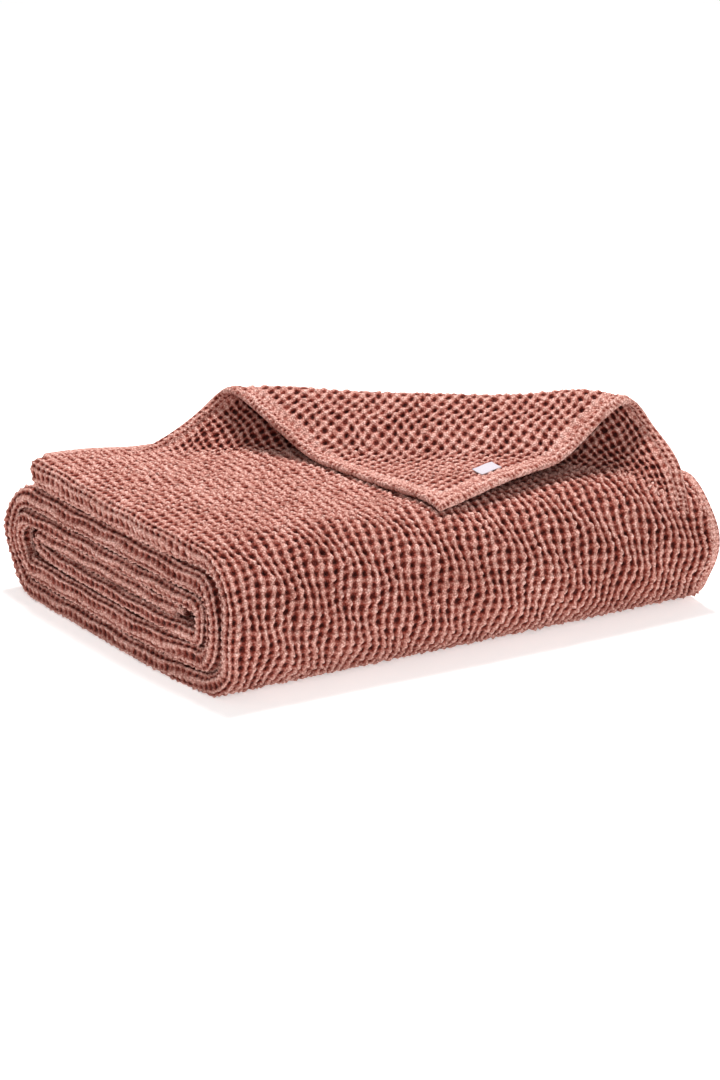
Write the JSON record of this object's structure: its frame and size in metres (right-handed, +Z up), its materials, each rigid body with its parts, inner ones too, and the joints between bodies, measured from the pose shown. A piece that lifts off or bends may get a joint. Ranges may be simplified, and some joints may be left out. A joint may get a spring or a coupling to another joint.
{
  "type": "folded throw blanket",
  "caption": "Waffle-knit cotton throw folded in layers and rolled over into a flat stack, with one corner of its top layer turned back.",
  "frame": {"origin": "the middle of the footprint, on the surface the stack rests on", "axes": "+Z up; the fold edges run along X; the smooth front faces -Y; the rolled ends of the folds show at -X and +X"},
  "size_m": [0.3754, 0.2902, 0.1406],
  "materials": {
    "honeycomb_cotton": "matt waffle weave in dusty salmon pink",
    "white_tape": "smooth off-white woven tape, bare"
  },
  "bodies": {
    "root": {"blanket": "honeycomb_cotton", "tab": "white_tape"}
  },
  "joints": []
}
